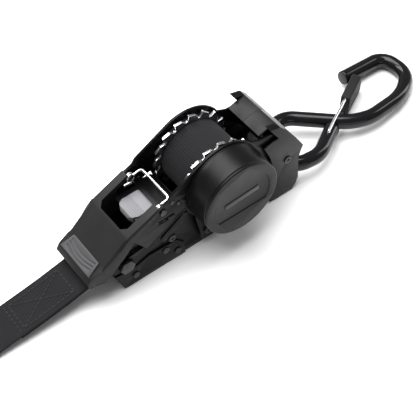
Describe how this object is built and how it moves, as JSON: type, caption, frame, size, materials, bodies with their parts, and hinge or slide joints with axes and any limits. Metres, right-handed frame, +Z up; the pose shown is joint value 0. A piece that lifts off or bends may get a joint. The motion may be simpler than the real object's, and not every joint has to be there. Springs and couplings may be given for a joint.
{
  "type": "ratchet strap",
  "caption": "Retracting ratchet strap: folding handle over a toothed drum, round spring case, nose cover, flat webbing and S-hooks with wire gates.",
  "frame": {"origin": "on the underside of the base, straight below the drum axis", "axes": "+X towards the front hook, +Y towards the side away from the spring case, +Z up; the drum axis is parallel to Y at z 45 mm"},
  "size_m": [0.5444, 0.0695, 0.0712],
  "materials": {
    "black_steel": "satin black over pressed steel",
    "black_fastener": "semi-gloss black",
    "bright_wire": "bright spring wire",
    "plain_steel": "plain turned steel",
    "satin_black_plastic": "satin moulded black",
    "grip_plastic": "matte dark gray",
    "pad_plastic": "matte gray, ribbed",
    "tab_plastic": "matte mid gray",
    "webbing": "woven black polyester",
    "hook_coating": "gloss black dip coating",
    "sleeve": "matte black"
  },
  "bodies": {
    "body": {"frame": "black_steel", "rear_side_plates": "black_steel", "frame_rivets": "black_fastener", "guard_screws": "black_fastener", "front_spacer": "black_fastener", "rear_bolt": "black_fastener", "rear_nut": "black_fastener", "spring_seat": "black_steel", "lock_springs": "bright_wire", "nose_half_near": "satin_black_plastic", "nose_half_far": "satin_black_plastic", "nose_screws": "black_fastener", "case_bracket": "black_steel", "bracket_spacers": "black_fastener", "bracket_screws": "black_fastener", "spring_case": "satin_black_plastic", "spring_cover": "satin_black_plastic", "cover_bar": "tab_plastic", "spiral_spring": "bright_wire", "strap_lead": "webbing", "strap_loop": "webbing", "fixed_strap": "webbing", "fixed_strap_loop": "webbing", "rear_hook_loop": "webbing"},
    "handle": {"handle_frame": "black_steel", "grip": "grip_plastic", "grip_pad": "pad_plastic", "bail_spring": "bright_wire", "spring_studs": "black_fastener", "handle_rivets": "black_fastener"},
    "pawl": {"drive_pawl": "black_steel", "finger_tab": "tab_plastic"},
    "lock": {"lock_pawl": "black_steel"},
    "drum": {"mandrel": "plain_steel", "wheel_near": "plain_steel", "wheel_far": "plain_steel", "webbing_spool": "webbing", "spring_arbor": "plain_steel", "end_washer": "black_fastener", "end_clip": "bright_wire"},
    "front_hook": {"s_hook_front": "hook_coating"},
    "front_gate": {"gate_wire_front": "bright_wire", "gate_sleeve_front": "sleeve"},
    "rear_hook": {"s_hook_rear": "hook_coating"},
    "rear_gate": {"gate_wire_rear": "bright_wire", "gate_sleeve_rear": "sleeve"}
  },
  "joints": [
    {"name": "handle_pivot", "type": "hinge", "parent": "body", "child": "handle", "pos_m": [0, 0, 0.045], "axis": [0, 1, 0], "range_deg": [0, 120]},
    {"name": "pawl_pull", "type": "slide", "parent": "handle", "child": "pawl", "axis": [-1, 0, 0], "range_m": [0, 0.0055], "stiffness_N_per_m": 250},
    {"name": "lock_slide", "type": "slide", "parent": "body", "child": "lock", "axis": [0.8526, 0, 0.5225], "range_m": [-0.002, 0.0034], "stiffness_N_per_m": 250, "springref_m": 0.0034},
    {"name": "drum_spin", "type": "hinge", "parent": "body", "child": "drum", "pos_m": [0, 0, 0.045], "axis": [0, 1, 0], "range_deg": [-4015, 0], "stiffness_Nm_per_rad": 0.0005},
    {"name": "front_hook_swing", "type": "hinge", "parent": "body", "child": "front_hook", "pos_m": [0.049, 0, 0.0149], "axis": [0, 1, 0], "range_deg": [-20, 12]},
    {"name": "front_gate_swing", "type": "hinge", "parent": "front_hook", "child": "front_gate", "pos_m": [0.08737, -0.00822, 0.01175], "axis": [-0.0819, 0, -0.9966], "range_deg": [0, 12], "stiffness_Nm_per_rad": 0.05},
    {"name": "rear_hook_swing", "type": "hinge", "parent": "body", "child": "rear_hook", "pos_m": [-0.246, 0, 0.0125], "axis": [0, 1, 0], "range_deg": [-10, 45]},
    {"name": "rear_gate_swing", "type": "hinge", "parent": "rear_hook", "child": "rear_gate", "pos_m": [-0.28444, 0.00822, 0.01035], "axis": [0.0558, 0, -0.9984], "range_deg": [0, 12], "stiffness_Nm_per_rad": 0.05}
  ]
}
